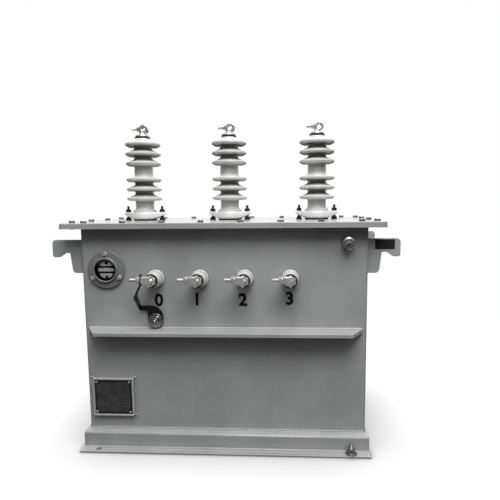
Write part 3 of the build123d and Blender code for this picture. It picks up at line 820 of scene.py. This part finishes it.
# ---- Rating plate
# A folded steel tray, tacked to the wall at its corners, frames a dark anodised plate with
# engraved ruled lines. The plate is blank otherwise. Four bright rivets hold it.
plate_low, plate_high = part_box("rating_plate")
tray_low, tray_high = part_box("rating_plate_bracket")
plate_dark = dark_plate("anodised_plate_dark", (0.045, 0.045, 0.046, 1), 0.42)
tray_grey = tank_paint("tray_grey_enamel", (0.44, 0.443, 0.445, 1), (0.6, 0.6, 0.6, 1), 0.3)
dress_node("rating_plate_bracket", tray_grey, 0.001)
dress_node("rating_plate", plate_dark)
ruling_grey = dark_plate("ruling_grey", (0.10, 0.10, 0.10, 1), 0.4)
ruling = ([], [])
left, right = plate_low.x + 0.012, plate_high.x - 0.012
head, foot = plate_high.z - 0.016, plate_low.z + 0.016
half_line, line_relief = 0.0005, 0.0004
line_back = plate_low.y + 0.0001
line_spaces = 8
for row in range(line_spaces + 1):
    z = head - (head - foot) * row / line_spaces
    flat_plate(ruling, left, z - half_line, right, z + half_line, line_back, line_relief)
for column in (0.0, 0.34, 0.67, 1.0):
    x = left + (right - left) * column
    flat_plate(ruling, x - half_line, foot, x + half_line, head, line_back, line_relief)
make_piece("plate_ruling", ruling, ruling_grey)

# Painted shade: a black band round the plate's edge stands in for the shadow in the gap between the plate and
# the tray's lip.
gap_shade_band = ([], [])
corners = ((plate_low.x, plate_low.z, 1, 1), (plate_high.x, plate_low.z, -1, 1),
           (plate_high.x, plate_high.z, -1, -1), (plate_low.x, plate_high.z, 1, -1))
skin(gap_shade_band, [[(x + right * inset, plate_low.y + depth, z + up * inset)
               for inset, depth in ((0.0003, 0.0002), (0.004, 0.0002), (0.004, -0.0004), (0.0003, -0.0004))]
              for x, z, right, up in corners], None, True)
make_piece("plate_gap_shade_band", gap_shade_band, stencil_and_shade_black)

rivet_line = rounded([(0.0005, -0.001, 0), (0.0036, -0.001, 0), (0.0036, 0.0014, 0.0012),
                      (0.0005, 0.0022, 0)], 5)
rivets = ([], [])
for x in (plate_low.x + 0.0048, plate_high.x - 0.0068):
    for z in (plate_low.z + 0.0054, plate_high.z - 0.0054):
        spot = Matrix.Translation((x, plate_low.y, z)) @ Matrix.Rotation(pi / 2, 4, "X")
        turned(rivets, rivet_line, spot, 24)
make_piece("plate_rivets", rivets, terminal_bright)

tack_half, tack_bead = 0.008, 0.0042
tacks = ([], [])
for z in (tray_high.z, tray_low.z):
    for x in (tray_low.x, tray_high.x):
        lay_weld(tacks, (x - tack_half, front_wall, z), (x + tack_half, front_wall, z), tack_bead)
make_piece("bracket_tacks", tacks, tank_grey, 50)


# ---- Pressure relief valve
# A small brass valve screwed into the wall near the top right corner: a hexagon to grip it by,
# a body, a domed cap, and a wire ring that is pulled to test it.
valve_low, valve_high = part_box("relief_valve_body")
valve_x = (valve_low.x + valve_high.x) / 2
valve_z = (valve_low.z + valve_high.z) / 2
valve = Matrix.Translation((valve_x, front_wall, valve_z)) @ Matrix.Rotation(pi / 2, 4, "X")
valve_metal = bare_metal("weathered_brass_grey", (0.5, 0.495, 0.48, 1), 0.2, (0.2, 0.197, 0.19, 1),
                         metallic=0.85)
valve_line = [(0.003, 0.008, 0), (0.015, 0.008, 0), (0.015, 0.023, 0), (0.0195, 0.0235, 0.001),
              (0.02, 0.031, 0.004), (0.0135, 0.035, 0.002), (0.0045, 0.0352, 0), (0.0045, 0.044, 0.001),
              (0.0015, 0.044, 0)]
ridges, ridge_reach = 24, 0.0194
body = ([], [])
hexagon(body, valve, 0.040, 0.009)
turned(body, rounded(valve_line, 5), valve, 60)
for number in range(ridges):
    turn = 2 * pi * number / ridges
    ridge = valve @ Matrix.Translation((ridge_reach * cos(turn), ridge_reach * sin(turn), 0.0245))
    turned(body, [(0.0004, 0), (0.0011, 0.0004), (0.0011, 0.005), (0.0004, 0.0054)], ridge, 8)
piece = make_piece("relief_valve_turned", body, valve_metal)
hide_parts("relief_valve_body")

ring_low, ring_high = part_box("relief_valve_ring")
pull_ring = ([], [])
ring_x, ring_y, ring_z = ((ring_low[axis] + ring_high[axis]) / 2 for axis in range(3))
wire, wire_reach = 0.0016, 0.011
rings = []
for step in range(64):
    turn = 2 * pi * step / 64
    spoke = Vector((cos(turn), 0, sin(turn)))
    centre = Vector((ring_x, ring_y, ring_z)) + spoke * wire_reach
    rings.append([centre + (spoke * cos(t) + Vector((0, 1, 0)) * sin(t)) * wire
                  for t in (2 * pi * k / 12 for k in range(12))])
skin(pull_ring, rings, None, True)
piece = make_piece("relief_valve_wire_ring", pull_ring, bolt_zinc, 60)
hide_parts("relief_valve_ring")


# ---- Floor, light and camera
# A plain pale floor that glows evenly white to the camera, darkened close to the rails by a painted contact
# shadow, soft studio light from above and in front, and the camera where the photographer stood: right of the
# middle, a little above the cover.
floor_mesh = bpy.data.meshes.new("studio_floor")
floor_mesh.from_pydata([(-30, -30, 0), (30, -30, 0), (30, 30, 0), (-30, 30, 0)], [], [(0, 1, 2, 3)])
dark_to_light, pale_to_camera = (0.05, 0.05, 0.05, 1), (0.8, 0.8, 0.8, 1)
floor_pale, floor_shader = start_finish("studio_floor_pale", pale_to_camera, 0.9)
# Painted shadow: the floor's white glow to the camera is darkened by AO close to the rails and under the
# tank.
near = add_node(floor_pale, "ShaderNodeAmbientOcclusion", {"samples": 8}, Distance=0.25)
tight = add_node(floor_pale, "ShaderNodeAmbientOcclusion", {"samples": 8}, Distance=0.03)
deepen = add_node(floor_pale, "ShaderNodeMath", {"operation": "POWER"}, _0=tight.outputs["AO"], _1=4.0)
painted_contact_shadow = add_node(floor_pale, "ShaderNodeMath", {"operation": "MULTIPLY"},
                  _0=deepen.outputs["Value"], _1=near.outputs["AO"])
glow = add_node(floor_pale, "ShaderNodeEmission", Color=painted_contact_shadow.outputs["Value"], Strength=1.08)
seen = add_node(floor_pale, "ShaderNodeLightPath").outputs["Is Camera Ray"]
share = add_node(floor_pale, "ShaderNodeMath", {"operation": "MULTIPLY"}, _0=seen, _1=0.8)
mixed = add_node(floor_pale, "ShaderNodeMixShader", _0=share.outputs["Value"],
                 _1=floor_shader.outputs["BSDF"], _2=glow.outputs["Emission"])
floor_link = floor_pale.node_tree.links.new
floor_link(blend_colour(floor_pale, seen, dark_to_light, pale_to_camera), floor_shader.inputs["Base Color"])
floor_link(mixed.outputs["Shader"], floor_pale.node_tree.nodes["Material Output"].inputs["Surface"])
floor_mesh.materials.append(floor_pale)
floor = bpy.data.objects.new("studio_floor", floor_mesh)
bpy.context.scene.collection.objects.link(floor)

world = bpy.data.worlds.new("studio")
bpy.context.scene.world = world
world.use_nodes = True
sky = world.node_tree.nodes["Background"]
sky.inputs["Color"].default_value = (1, 1, 1, 1)
facing = add_node(world, "ShaderNodeSeparateXYZ",
                  Vector=add_node(world, "ShaderNodeTexCoord").outputs["Generated"])
dome = spread(world, facing.outputs["Z"], 0.2, 0.75, 0.03, 1.05)
behind = spread(world, facing.outputs["Y"], 0.15, 0.9, 0.0, 1.2)
brighter = add_node(world, "ShaderNodeMath", {"operation": "MAXIMUM"}, _0=dome, _1=behind)
seen = add_node(world, "ShaderNodeLightPath").outputs["Is Camera Ray"]
white_behind = add_node(world, "ShaderNodeMix", Factor=seen, A=brighter.outputs["Value"], B=1.0)
world.node_tree.links.new(white_behind.outputs["Result"], sky.inputs["Strength"])


def soft_light(name, place, aim, size, power):
    lamp = bpy.data.lights.new(name, "AREA")
    lamp.shape = "DISK"
    lamp.size = size
    lamp.energy = power
    holder = bpy.data.objects.new(name, lamp)
    bpy.context.scene.collection.objects.link(holder)
    holder.location = place
    holder.rotation_euler = (Vector(aim) - Vector(place)).to_track_quat("-Z", "Y").to_euler()


soft_light("overhead_softbox", (0.5, -1.75, 3.0), (0, 0, 0.5), 2.0, 78)

camera_lens = bpy.data.cameras.new("photo_view")
camera_lens.sensor_width = 36
camera_lens.lens = 32.045
camera_lens.shift_x = -0.0203
camera_lens.shift_y = 0.01561
camera = bpy.data.objects.new("photo_view", camera_lens)
bpy.context.scene.collection.objects.link(camera)
camera.location = (0.2109, -1.7289, 0.8437)
camera.rotation_euler = (radians(83.3777), radians(0.5167), radians(3.1052))
bpy.context.scene.camera = camera
bpy.context.scene.view_settings.view_transform = "Standard"
